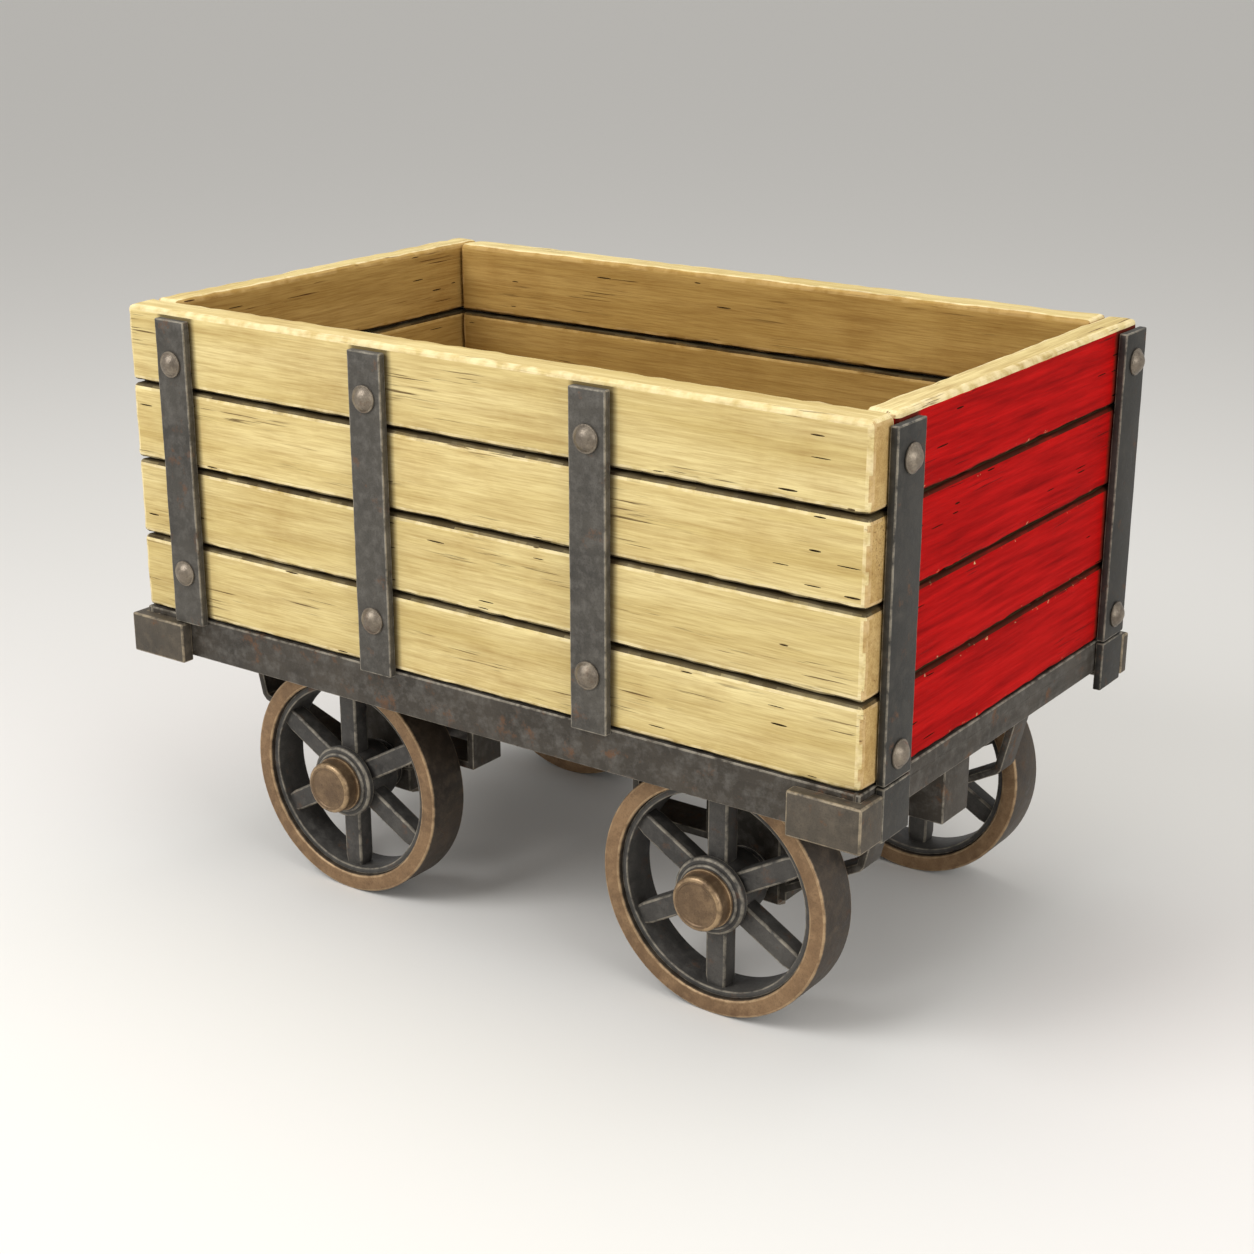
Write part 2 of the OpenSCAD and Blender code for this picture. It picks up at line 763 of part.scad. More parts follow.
module axle_nuts() {
    color(IRON) at_wheels() {
        translate([0, 0, nut_y]) difference() {
            rod(washer_r, washer_t);
            translate([0, 0, -1]) rod(thread_r + PRESS, washer_t + 2);
        }
        translate([0, 0, nut_y + washer_t]) difference() {
            cylinder(d = nut_af / cos(30), h = nut_t, $fn = 6);
            translate([0, 0, -1]) rod(thread_r + PRESS, nut_t + 2);
        }
    }
}

// Wheel centre: hub with a front collar, square spokes and a thin felloe inside the tyre.
module wheel() {
    felloe_y = [wheel_back_y + felloe_inset, wheel_y - felloe_inset];
    felloe_r = tyre_in_r - PRESS;
    color(IRON) difference() {
        union() {
            translate([0, 0, wheel_back_y]) rod(hub_r, hub_out_y - wheel_back_y);
            translate([0, 0, hub_out_y - hub_step - spoke_inset]) rod(collar_r, spoke_inset);
            for (i = [0:spokes - 1]) rotate([0, 0, 90 + i * 360 / spokes])
                slab([hub_r - 5, felloe_r - felloe_t / 2], [-spoke_w / 2, spoke_w / 2],
                    [wheel_y - spoke_inset - spoke_t, wheel_y - spoke_inset]);
            translate([0, 0, felloe_y[0]]) difference() {
                rod(felloe_r, felloe_y[1] - felloe_y[0]);
                translate([0, 0, -1]) rod(felloe_r - felloe_t, felloe_y[1] - felloe_y[0] + 2);
            }
        }
        translate([0, 0, wheel_back_y - 1]) rod(bush_r + PRESS, tread_w + hub_out + 2);
        translate([0, 0, hub_out_y - cap_depth]) rod(cap_spigot_r + PRESS, cap_depth + 1);
    }
}

module tyre() {
    edge = 3;
    color(BRONZE) rotate_extrude() polygon([
        [tyre_in_r, wheel_back_y], [wheel_r - edge, wheel_back_y], [wheel_r, wheel_back_y + edge],
        [wheel_r, wheel_y - edge], [wheel_r - edge, wheel_y], [tyre_in_r, wheel_y]
    ]);
}

module cap() {
    round_r = 5;
    front = hub_out_y + cap_out;
    color(BRONZE) rotate_extrude() {
        translate([0, front - cap_wall]) square([cap_r - round_r, cap_wall]);
        translate([cap_in_r, hub_out_y]) square([cap_r - cap_in_r, cap_out - round_r]);
        intersection() {
            translate([cap_r - round_r, front - round_r]) circle(round_r);
            translate([cap_in_r, front - round_r]) square([cap_r - cap_in_r, round_r]);
        }
        translate([cap_in_r, front - round_r]) square([cap_r - round_r - cap_in_r, round_r]);
        translate([cap_in_r, hub_out_y - cap_depth]) square([cap_spigot_r - cap_in_r, cap_depth]);
    }
}

module bush() {
    y = wheel_back_y + running_end_gap;
    l = hub_out_y - y;
    color("goldenrod") translate([0, 0, y]) difference() {
        rod(bush_r, l);
        translate([0, 0, -1]) rod(journal_r + running_gap, l + 2);
    }
}

for (i = [1:ROWS]) {
    side_plank(-1, i);
    side_plank(1, i);
    end_plank(1, i);
    end_plank(-1, i);
}
floor_boards();
edge_dowels();
side_straps();
end_straps();
strap_screws();
side_rail(-1);  // near_rail
side_rail(1);  // far_rail
end_beam(1);  // front_beam
end_beam(-1);  // rear_beam
bearer(-1);  // near_bearer
bearer(1);  // far_bearer
cross_ties();
corner_blocks();
corner_angles();
strap_feet();
draw_beam();
draw_shoes();
deck_screws();
frame_bolts();
axle_pedestals();
axle_keeps();
axle_stays();
axle_knees();
gear_bolts();
axle(front_axle_x);  // front_axle
axle(rear_axle_x);  // rear_axle
axle_sleeves();
axle_nuts();
for (a = AXLES, h = HANDS) {
    place = str(a[0], "_", h[0]);
    at_wheel(a[1], h[1]) wheel();
    at_wheel(a[1], h[1]) tyre();
    at_wheel(a[1], h[1]) cap();
    at_wheel(a[1], h[1]) bush();
}
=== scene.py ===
import math
import random

import bmesh
import bpy
from mathutils import Matrix, Vector


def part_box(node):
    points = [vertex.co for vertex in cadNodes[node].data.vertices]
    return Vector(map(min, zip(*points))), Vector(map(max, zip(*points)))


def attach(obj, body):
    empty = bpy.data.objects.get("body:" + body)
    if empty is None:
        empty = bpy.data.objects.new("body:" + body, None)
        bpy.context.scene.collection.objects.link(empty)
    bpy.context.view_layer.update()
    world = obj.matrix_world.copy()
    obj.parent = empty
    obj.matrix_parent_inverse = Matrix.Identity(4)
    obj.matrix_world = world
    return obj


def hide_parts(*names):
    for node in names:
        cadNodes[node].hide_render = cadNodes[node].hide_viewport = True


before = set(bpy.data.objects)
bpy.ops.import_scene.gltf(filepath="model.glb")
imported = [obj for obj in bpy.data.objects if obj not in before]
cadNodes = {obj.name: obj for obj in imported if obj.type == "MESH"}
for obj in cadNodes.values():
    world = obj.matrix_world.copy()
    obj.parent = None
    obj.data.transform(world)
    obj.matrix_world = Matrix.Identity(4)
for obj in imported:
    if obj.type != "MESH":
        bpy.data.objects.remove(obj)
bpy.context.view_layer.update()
print("frame loaded:", len(cadNodes), "CAD nodes")


def selectOnly(obj):
    bpy.ops.object.select_all(action="DESELECT")
    obj.select_set(True)
    bpy.context.view_layer.objects.active = obj


def startEdit(obj):
    selectOnly(obj)
    bpy.ops.object.mode_set(mode="EDIT")
    bpy.ops.mesh.select_all(action="DESELECT")


def endEdit():
    bpy.ops.object.mode_set(mode="OBJECT")


def pick(obj, kind, test):  # kind is verts, edges or faces; test says which of them
    bpy.ops.mesh.select_mode(type={"verts": "VERT", "edges": "EDGE", "faces": "FACE"}[kind])
    bpy.ops.mesh.select_all(action="DESELECT")
    work = bmesh.from_edit_mesh(obj.data)
    for item in getattr(work, kind):
        if test(item):
            item.select_set(True)
    work.select_flush_mode()
    bmesh.update_edit_mesh(obj.data)


def addBlock(name, low, high):
    bpy.ops.object.select_all(action="DESELECT")
    bpy.ops.mesh.primitive_cube_add(size=1, location=(low + high) / 2)
    block = bpy.context.object
    block.name = name
    block.scale = high - low
    bpy.ops.object.transform_apply(location=True, rotation=True, scale=True)
    return block


def addRound(name, radius, depth, middle, axis, corners):  # a cylinder lying along X, Y or Z
    turn = {"X": (0, math.pi / 2, 0), "Y": (math.pi / 2, 0, 0), "Z": (0, 0, 0)}[axis]
    bpy.ops.object.select_all(action="DESELECT")
    bpy.ops.mesh.primitive_cylinder_add(vertices=corners, radius=radius, depth=depth,
                                        location=middle, rotation=turn)
    bar = bpy.context.object
    bar.name = name
    bpy.ops.object.transform_apply(location=True, rotation=True, scale=True)
    return bar


def runsAlong(edge, axis):
    step = edge.verts[1].co - edge.verts[0].co
    return abs(step[axis]) > 0.99 * step.length


def cutAcross(obj, axis, cuts):  # rings of cuts square to the axis
    startEdit(obj)
    pick(obj, "edges", lambda edge: runsAlong(edge, axis))
    bpy.ops.mesh.subdivide(number_cuts=cuts)
    endEdit()


def applyModifier(obj, kind, **settings):
    selectOnly(obj)
    modifier = obj.modifiers.new(kind.lower(), kind)
    for key, value in settings.items():
        setattr(modifier, key, value)
    bpy.ops.object.modifier_apply(modifier=modifier.name)


def roundEdges(obj, width, steps, angle=35, clamp=True):  # the new faces get material index 1
    while len(obj.data.materials) < 2:  # without a second slot the index would fall back to 0
        obj.data.materials.append(None)
    applyModifier(obj, "BEVEL", width=width, segments=steps, limit_method="ANGLE",
                  angle_limit=math.radians(angle), use_clamp_overlap=clamp, material=1)


def joinPieces(pieces, name):
    bpy.ops.object.select_all(action="DESELECT")
    for piece in pieces:
        piece.select_set(True)
    bpy.context.view_layer.objects.active = pieces[0]
    if len(pieces) > 1:
        bpy.ops.object.join()
    joined = bpy.context.view_layer.objects.active
    joined.name = name
    return joined


def solidBoxes(nodeName):  # lowest and highest corner of each separate solid of a CAD node
    work = bmesh.new()
    work.from_mesh(cadNodes[nodeName].data)
    bmesh.ops.remove_doubles(work, verts=work.verts, dist=1e-6)
    boxes, seen = [], set()
    for start in work.verts:
        if start in seen:
            continue
        island, queue = [], [start]
        seen.add(start)
        while queue:
            vert = queue.pop()
            island.append(vert.co.copy())
            for edge in vert.link_edges:
                other = edge.other_vert(vert)
                if other not in seen:
                    seen.add(other)
                    queue.append(other)
        boxes.append((Vector([min(co[i] for co in island) for i in range(3)]),
                      Vector([max(co[i] for co in island) for i in range(3)])))
    work.free()
    return sorted(boxes, key=lambda box: tuple(round(n, 4) for n in box[0]))


def writeMark(obj, name, valueOf):  # a number on every face, read by the materials
    mesh = obj.data
    mark = mesh.attributes.get(name) or mesh.attributes.new(name, "FLOAT", "CORNER")
    values = [0.0] * len(mesh.loops)
    for face in mesh.polygons:
        value = float(valueOf(face))
        for loop in face.loop_indices:
            values[loop] = value
    mark.data.foreach_set("value", values)


def markEdges(obj, tone):  # bevels are worn and carry a painted highlight, cuts are nicks, and each piece has its own tone
    writeMark(obj, "worn", lambda face: face.material_index == 1)
    writeMark(obj, "nick", lambda face: face.material_index == 2)
    writeMark(obj, "tone", lambda face: tone)
    for face in obj.data.polygons:
        face.material_index = 0


def finishPiece(obj, material, body, replaced):
    selectOnly(obj)
    bpy.ops.object.shade_smooth_by_angle(angle=math.radians(32))
    obj.data.materials.clear()
    obj.data.materials.append(material)
    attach(obj, body)
    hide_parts(replaced)


def paint(red, green, blue):  # a screen colour as the shader wants it
    def linear(value):
        value /= 255
        return value / 12.92 if value <= 0.04045 else ((value + 0.055) / 1.055) ** 2.4
    return (linear(red), linear(green), linear(blue), 1.0)


def addNode(tree, kind, inputs, **settings):
    node = tree.nodes.new(kind)
    for key, value in settings.items():
        setattr(node, key, value)
    for socket, value in inputs.items():
        if isinstance(value, bpy.types.NodeSocket):
            tree.links.new(value, node.inputs[socket])
        else:
            node.inputs[socket].default_value = value
    return node


def stretched(tree, start, scale, shift=(0, 0, 0)):
    inputs = {"Vector": start, "Scale": scale, "Location": shift}
    return addNode(tree, "ShaderNodeMapping", inputs).outputs[0]


def cloud(tree, vector, scale, detail=4.0, roughness=0.55):
    return addNode(tree, "ShaderNodeTexNoise", {"Vector": vector, "Scale": scale, "Detail": detail,
                                                "Roughness": roughness}).outputs["Fac"]


def between(tree, value, low, high, toLow=0.0, toHigh=1.0):
    return addNode(tree, "ShaderNodeMapRange", {"Value": value, "From Min": low, "From Max": high,
                                                "To Min": toLow, "To Max": toHigh}).outputs[0]


def calc(tree, how, a, b=0.0):
    return addNode(tree, "ShaderNodeMath", {0: a, 1: b}, operation=how).outputs[0]


def blend(tree, factor, a, b, how="MIX"):
    return addNode(tree, "ShaderNodeMix", {"Factor": factor, 6: a, 7: b}, data_type="RGBA",
                   blend_type=how).outputs[2]


def toned(tree, colour, value):  # the same colour, lighter or darker
    return addNode(tree, "ShaderNodeHueSaturation", {"Color": colour, "Value": value}).outputs[0]


def readMark(tree, name):
    return addNode(tree, "ShaderNodeAttribute", {}, attribute_name=name).outputs["Fac"]


def startMaterial(name):
    material = bpy.data.materials.new(name)
    material.use_nodes = True
    tree = material.node_tree
    fixed = addNode(tree, "ShaderNodeTexCoord", {}).outputs["Object"]
    tone = readMark(tree, "tone")
    jump = addNode(tree, "ShaderNodeCombineXYZ", {0: calc(tree, "MULTIPLY", tone, 7.3),
                                                  1: calc(tree, "MULTIPLY", tone, 11.7),
                                                  2: calc(tree, "MULTIPLY", tone, 5.9)}).outputs[0]
    place = addNode(tree, "ShaderNodeVectorMath", {0: fixed, 1: jump}, operation="ADD").outputs[0]
    return material, tree, tree.nodes["Principled BSDF"], place, tone, fixed


def endMaterial(tree, shader, colour, roughness, height, bumpDepth, bumpStrength):
    bump = addNode(tree, "ShaderNodeBump", {"Height": height, "Distance": bumpDepth,
                                            "Strength": bumpStrength})
    tree.links.new(bump.outputs[0], shader.inputs["Normal"])
    tree.links.new(colour, shader.inputs["Base Color"])
    tree.links.new(roughness, shader.inputs["Roughness"])


# where the straps stand, for the painted shadow beside them
strapPlaces = {"firstX": -0.56, "pitch": 0.40, "lastX": 0.40, "halfWide": 0.032,
               "endMiddle": 0.019, "endHalf": 0.312, "fade": 0.010}


def strapShadowBand(tree, fixed, grainAxis):  # painted shadow: a dark band along the edges of each strap
    along = addNode(tree, "ShaderNodeSeparateXYZ", {0: fixed}).outputs[grainAxis]
    if grainAxis == 0:
        half = 0.5 * strapPlaces["pitch"]
        fromFirst = calc(tree, "SUBTRACT", along, strapPlaces["firstX"])
        turn = addNode(tree, "ShaderNodeMath", {0: fromFirst, 1: half, 2: -half}, operation="WRAP")
        gap = calc(tree, "ABSOLUTE", turn.outputs[0])
        reach = strapPlaces["halfWide"]
        near = between(tree, gap, reach + strapPlaces["fade"], reach)
        return calc(tree, "MULTIPLY", near, calc(tree, "LESS_THAN", along, strapPlaces["lastX"]))
    gap = calc(tree, "ABSOLUTE", calc(tree, "SUBTRACT", along, strapPlaces["endMiddle"]))
    return between(tree, gap, strapPlaces["endHalf"] - strapPlaces["fade"], strapPlaces["endHalf"])


def woodMaterial(name, grainAxis, look):
    material, tree, shader, place, tone, fixed = startMaterial(name)

    def grain(along, across):
        scale = [across] * 3
        scale[grainAxis] = along
        return stretched(tree, place, scale)

    bands = cloud(tree, grain(1.3, 17), 1.0, 5.0, 0.6)
    streaks = cloud(tree, grain(5, 95), 1.0, 4.0, 0.6)
    fibres = cloud(tree, grain(16, 420), 1.0, 3.0, 0.6)
    dirt = cloud(tree, place, look["dirtSize"], 5.0, 0.62)
    cracks = cloud(tree, grain(9, 340), 1.0, 2.0, 0.5)
    crackZone = cloud(tree, grain(3.0, 14), 1.0, 3.0, 0.6)

    colour = blend(tree, between(tree, bands, 0.32, 0.68), look["light"], look["mid"])
    colour = blend(tree, between(tree, streaks, 0.46, 0.74, 0.0, look["streaks"]), colour, look["dark"])
    colour = blend(tree, between(tree, fibres, 0.40, 0.75, 0.0, look["fibres"]), colour, look["dark"])
    colour = blend(tree, between(tree, fibres, 0.35, 0.15, 0.0, 0.45), colour, look["pale"])
    shade = between(tree, tone, 0.0, 1.0, -look["toneSpread"], look["toneSpread"])
    colour = toned(tree, colour, calc(tree, "ADD", shade, 1.0))
    dirty = between(tree, dirt, 0.50, 0.78, 0.0, look["dirt"])
    colour = blend(tree, dirty, colour, look["dirtTone"], "MULTIPLY")
    # lighter rounded edges: partly wear, partly a painted highlight
    worn = readMark(tree, "worn")
    edge = calc(tree, "MULTIPLY", worn, between(tree, cloud(tree, place, 45, 3.0), 0.35, 0.6))
    colour = blend(tree, calc(tree, "MULTIPLY", edge, look["edge"]), colour, look["wearAndHighlightTone"])
    if "painted" in look:
        coat = readMark(tree, "paint")
        chip = between(tree, cloud(tree, grain(9, 70), 1.0, 5.0, 0.65), 0.16, 0.20)
        edgeChip = between(tree, cloud(tree, place, 55, 4.0, 0.7), 0.28, 0.36)
        keep = blend(tree, worn, (1, 1, 1, 1), edgeChip)
        coat = calc(tree, "MULTIPLY", coat, calc(tree, "MULTIPLY", chip, keep))
        red = blend(tree, between(tree, streaks, 0.35, 0.75), look["painted"], look["paintedDark"])
        red = blend(tree, between(tree, fibres, 0.55, 0.80, 0.0, 0.6), red, look["paintedDark"])
        red = blend(tree, between(tree, bands, 0.52, 0.75, 0.0, 0.35), red, look["paintedFaded"])
        colour = blend(tree, coat, colour, red)
    crack = calc(tree, "MULTIPLY", between(tree, cracks, 0.62, 0.69), between(tree, crackZone, 0.53, 0.62))
    crack = calc(tree, "MAXIMUM", crack, readMark(tree, "nick"))
    colour = blend(tree, calc(tree, "MULTIPLY", crack, look["cracks"]), colour, look["crackTone"])
    # painted shade: the faces inside the joints between boards are darkened
    seam = readMark(tree, "seam")
    colour = blend(tree, calc(tree, "MULTIPLY", seam, 0.9), colour, look["seamTone"])
    # painted shadow: a dark band beside the straps on the outer faces
    strapShadow = calc(tree, "MULTIPLY", strapShadowBand(tree, fixed, grainAxis), readMark(tree, "outer"))
    colour = blend(tree, calc(tree, "MULTIPLY", strapShadow, look["strapShadow"]), colour, look["seamTone"])
    colour = blend(tree, readMark(tree, "endGrain"), colour, look["endTone"], "MULTIPLY")
    # painted shade: the inner faces of the box are darkened
    inner = readMark(tree, "inner")
    colour = blend(tree, inner, colour, look["innerShadeTone"], "MULTIPLY")

    height = calc(tree, "ADD", calc(tree, "MULTIPLY", streaks, 0.6), calc(tree, "MULTIPLY", fibres, 0.5))
    height = calc(tree, "SUBTRACT", height, calc(tree, "MULTIPLY", crack, 1.6))
    rough = between(tree, streaks, 0.3, 0.7, look["rough"] - 0.08, look["rough"] + 0.08)
    endMaterial(tree, shader, colour, rough, height, 0.0012, look["bump"])
    shader.inputs["Specular IOR Level"].default_value = look["specular"]
    return material


def ironMaterial(name, look):
    material, tree, shader, place, tone, _ = startMaterial(name)
    broad = cloud(tree, place, 9, 6.0, 0.62)
    mottle = cloud(tree, place, 60, 5.0, 0.65)
    grit = cloud(tree, place, 420, 3.0, 0.6)
    rustNoise = cloud(tree, place, 26, 8.0, 0.72)
    colour = blend(tree, between(tree, broad, 0.35, 0.65), look["base"], look["shade"])
    colour = blend(tree, between(tree, mottle, 0.45, 0.75, 0.0, 0.75), colour, look["light"])
    colour = blend(tree, between(tree, grit, 0.50, 0.80, 0.0, 0.55), colour, look["speck"])
    rust = between(tree, rustNoise, look["rustFrom"], look["rustFrom"] + 0.09, 0.0, look["rust"])
    colour = blend(tree, rust, colour, look["rustTone"])
    # lighter rubbed edges: partly wear, partly a painted highlight on the rounded edges
    rubAndHighlight = calc(tree, "MULTIPLY", readMark(tree, "worn"), between(tree, mottle, 0.34, 0.60))
    colour = blend(tree, calc(tree, "MULTIPLY", rubAndHighlight, look["edge"]), colour, look["wearAndHighlightTone"])
    colour = toned(tree, colour, between(tree, tone, 0, 1, 0.92, 1.08))
    rough = between(tree, mottle, 0.3, 0.7, look["rough"] - 0.1, look["rough"] + 0.12)
    rough = calc(tree, "ADD", rough, calc(tree, "MULTIPLY", rust, 0.2))
    rough = calc(tree, "SUBTRACT", rough, calc(tree, "MULTIPLY", rubAndHighlight, 0.12))
    height = calc(tree, "ADD", calc(tree, "MULTIPLY", mottle, 0.9), calc(tree, "MULTIPLY", grit, 0.35))
    height = calc(tree, "ADD", height, calc(tree, "MULTIPLY", rust, 0.3))
    endMaterial(tree, shader, colour, rough, height, look["depth"], look["bump"])
    shader.inputs["Metallic"].default_value = look["metallic"]
    return material


plankLook = {
    "light": paint(227, 209, 152), "mid": paint(198, 176, 115), "dark": paint(156, 126, 74),
    "pale": paint(236, 225, 178), "streaks": 0.45, "fibres": 0.55, "toneSpread": 0.04,
    "dirt": 0.40, "dirtTone": paint(198, 170, 128), "dirtSize": 7,
    "edge": 0.55, "wearAndHighlightTone": paint(242, 226, 182), "cracks": 0.85, "crackTone": paint(84, 60, 34),
    "rough": 0.78, "bump": 0.55, "specular": 0.10, "innerShadeTone": paint(207, 185, 151),
    "endTone": paint(226, 210, 198), "seamTone": paint(44, 30, 16), "strapShadow": 0.75,
}
endLook = dict(plankLook, painted=paint(182, 1, 0), paintedDark=paint(122, 0, 0),
               paintedFaded=paint(196, 18, 10), crackTone=paint(70, 12, 8))
floorLook = dict(plankLook, light=paint(178, 142, 88), mid=paint(150, 114, 66), dark=paint(96, 68, 38),
                 pale=paint(200, 168, 112), dirt=0.8, dirtTone=paint(120, 98, 74),
                 wearAndHighlightTone=paint(190, 160, 108), toneSpread=0.09, strapShadow=0.0)
beamLook = dict(plankLook, light=paint(104, 82, 60), mid=paint(82, 63, 45), dark=paint(46, 34, 24),
                pale=paint(128, 104, 78), dirt=0.7, dirtTone=paint(110, 96, 84),
                wearAndHighlightTone=paint(128, 106, 80), crackTone=paint(20, 14, 10), strapShadow=0.0)
strapLook = {
    "base": paint(81, 77, 70), "shade": paint(61, 58, 53), "light": paint(108, 104, 98),
    "speck": paint(44, 42, 40), "rust": 0.6, "rustFrom": 0.585, "rustTone": paint(112, 78, 54),
    "edge": 0.8, "wearAndHighlightTone": paint(150, 142, 127), "rough": 0.60, "metallic": 0.35, "bump": 0.6,
    "depth": 0.0015,
}
# painted shade: a darker copy of the strap iron, for the end straps and strap feet
shadedStrapLook = dict(strapLook, base=paint(57, 55, 51), shade=paint(43, 42, 39), light=paint(80, 77, 71))
railLook = dict(strapLook, base=paint(72, 65, 56), shade=paint(53, 48, 41), rust=0.75, rustFrom=0.57,
                rustTone=paint(108, 76, 52))
blockLook = dict(railLook, base=paint(84, 76, 65), shade=paint(66, 60, 51), light=paint(108, 98, 84),
                 wearAndHighlightTone=paint(160, 145, 120))
wheelLook = dict(strapLook, base=paint(78, 75, 71), shade=paint(56, 54, 52), light=paint(98, 95, 90),
                 rust=0.45)
tyreLook = dict(strapLook, base=paint(146, 116, 84), shade=paint(112, 87, 62), light=paint(166, 136, 102),
                speck=paint(80, 60, 42), rust=0.4, rustTone=paint(92, 64, 42), wearAndHighlightTone=paint(182, 154, 118),
                rough=0.55, metallic=0.5)
treadLook = dict(strapLook, base=paint(74, 64, 54), shade=paint(52, 45, 38), light=paint(100, 87, 73),
                 rust=0.5, rustTone=paint(96, 68, 48), wearAndHighlightTone=paint(150, 128, 100),
                 rough=0.50, metallic=0.5)
screwLook = dict(strapLook, base=paint(126, 115, 101), shade=paint(94, 85, 75), light=paint(166, 154, 136),
                 speck=paint(60, 53, 46), rust=0.4, rustTone=paint(104, 74, 52), wearAndHighlightTone=paint(120, 111, 98),
                 rough=0.40, metallic=0.6)
capLook = dict(strapLook, base=paint(122, 99, 74), shade=paint(92, 73, 54), light=paint(150, 124, 94),
               speck=paint(66, 51, 37), rust=0.3, rustTone=paint(84, 60, 40), wearAndHighlightTone=paint(178, 150, 114),
               rough=0.45, metallic=0.55)
bushLook = dict(capLook, base=paint(186, 146, 74), shade=paint(158, 120, 58), light=paint(206, 170, 96),
                rough=0.35, metallic=0.9)
axleLook = dict(strapLook, base=paint(92, 88, 84), shade=paint(66, 62, 58), light=paint(120, 114, 106),
                rough=0.42, metallic=0.8)

sideWood = woodMaterial("sideWood", 0, plankLook)
endWood = woodMaterial("endWood", 1, endLook)
floorWood = woodMaterial("floorWood", 1, floorLook)
beamWood = woodMaterial("beamWood", 0, beamLook)
strapIron = ironMaterial("strapIron", strapLook)
shadedStrapIron = ironMaterial("shadedStrapIron", shadedStrapLook)
railIron = ironMaterial("railIron", railLook)
blockIron = ironMaterial("blockIron", blockLook)
wheelIron = ironMaterial("wheelIron", wheelLook)
tyreIron = ironMaterial("tyreIron", tyreLook)
treadIron = ironMaterial("treadIron", treadLook)
screwIron = ironMaterial("screwIron", screwLook)
capBronze = ironMaterial("capBronze", capLook)
bushBrass = ironMaterial("bushBrass", bushLook)
axleSteel = ironMaterial("axleSteel", axleLook)
print("materials made:", len(bpy.data.materials))


# sizes in metres; swell and chip move the surface, nicks are cut along the grain
timber = {
    "slack": 0.0012, "round": 0.0085, "roundSteps": 3, "step": 0.022, "rows": 6, "layers": 2,
    "swell": 0.0022, "swellSize": 0.16, "chip": 0.0011, "chipSize": 0.018,
    "nickLong": (0.006, 0.019), "nickWide": 0.0014, "nickDeep": 0.0026, "nicksEach": 18,
    "nickCell": (0.050, 0.012), "nickEnds": 3, "nickMiddle": 0.3, "nickAlong": (0.4, 0.6),
    "nickAcross": (0.2, 0.8), "nickWider": (0.5, 1.1), "nickDeeper": (0.7, 1.3), "rimDepth": 0.012,
    "spare": 0.0002,
}


def softNoise(name, size, contrast=1.0, brightness=1.0):
    texture = bpy.data.textures.new(name, "CLOUDS")
    texture.noise_scale = size
    texture.noise_depth = 2
    texture.contrast = contrast
    texture.intensity = brightness
    return texture


swellNoise = softNoise("swellNoise", timber["swellSize"])
chipNoise = softNoise("chipNoise", timber["chipSize"], 4.0, 1.55)
forgeNoise = softNoise("forgeNoise", 0.035)


def edgeGroup(obj):  # the points of the rounded edges
    group = obj.vertex_groups.new(name="edge")
    points = {v for face in obj.data.polygons if face.material_index == 1 for v in face.vertices}
    group.add(sorted(points), 1.0, "REPLACE")


def addNicks(obj, low, high, grainAxis, faceAxis, chance, many):
    other = 3 - grainAxis - faceAxis
    reach = (high - low)[grainAxis] / 2
    columns, rows = int(reach / timber["nickCell"][0]), int((high - low)[other] / timber["nickCell"][1])
    ends = [c for c in range(columns) if c < timber["nickEnds"] or chance.random() < timber["nickMiddle"]]
    corners = [(-1, -1), (-1, 1), (1, -1), (1, 1)]  # which end and which face of the board
    cells = [(column, row, end, side) for column in ends for row in range(rows) for end, side in corners]
    cutters = []
    for column, row, end, side in chance.sample(cells, many):  # one nick to a cell, so that none meet
        centre = (low + high) / 2
        along = column + chance.uniform(*timber["nickAlong"])
        centre[grainAxis] += end * (reach - along * timber["nickCell"][0])
        across = row + chance.uniform(*timber["nickAcross"])
        centre[other] = low[other] + across * (high - low)[other] / rows
        centre[faceAxis] = high[faceAxis] if side > 0 else low[faceAxis]
        bpy.ops.object.select_all(action="DESELECT")
        bpy.ops.mesh.primitive_ico_sphere_add(subdivisions=2, radius=1, location=centre)
        cutter = bpy.context.object
        scale = [0, 0, 0]
        scale[grainAxis] = chance.uniform(*timber["nickLong"])
        scale[other] = timber["nickWide"] * chance.uniform(*timber["nickWider"])
        scale[faceAxis] = timber["nickDeep"] * chance.uniform(*timber["nickDeeper"])
        cutter.scale = scale
        bpy.ops.object.transform_apply(location=True, rotation=True, scale=True)
        cutters.append(cutter)
    cutter = joinPieces(cutters, "nickCutter")
    for _ in range(3):
        cutter.data.materials.append(None)
        obj.data.materials.append(None)
    for face in cutter.data.polygons:
        face.material_index = 2
    applyModifier(obj, "BOOLEAN", operation="DIFFERENCE", object=cutter, solver="EXACT",
                  material_mode="INDEX")
    bpy.data.objects.remove(cutter)


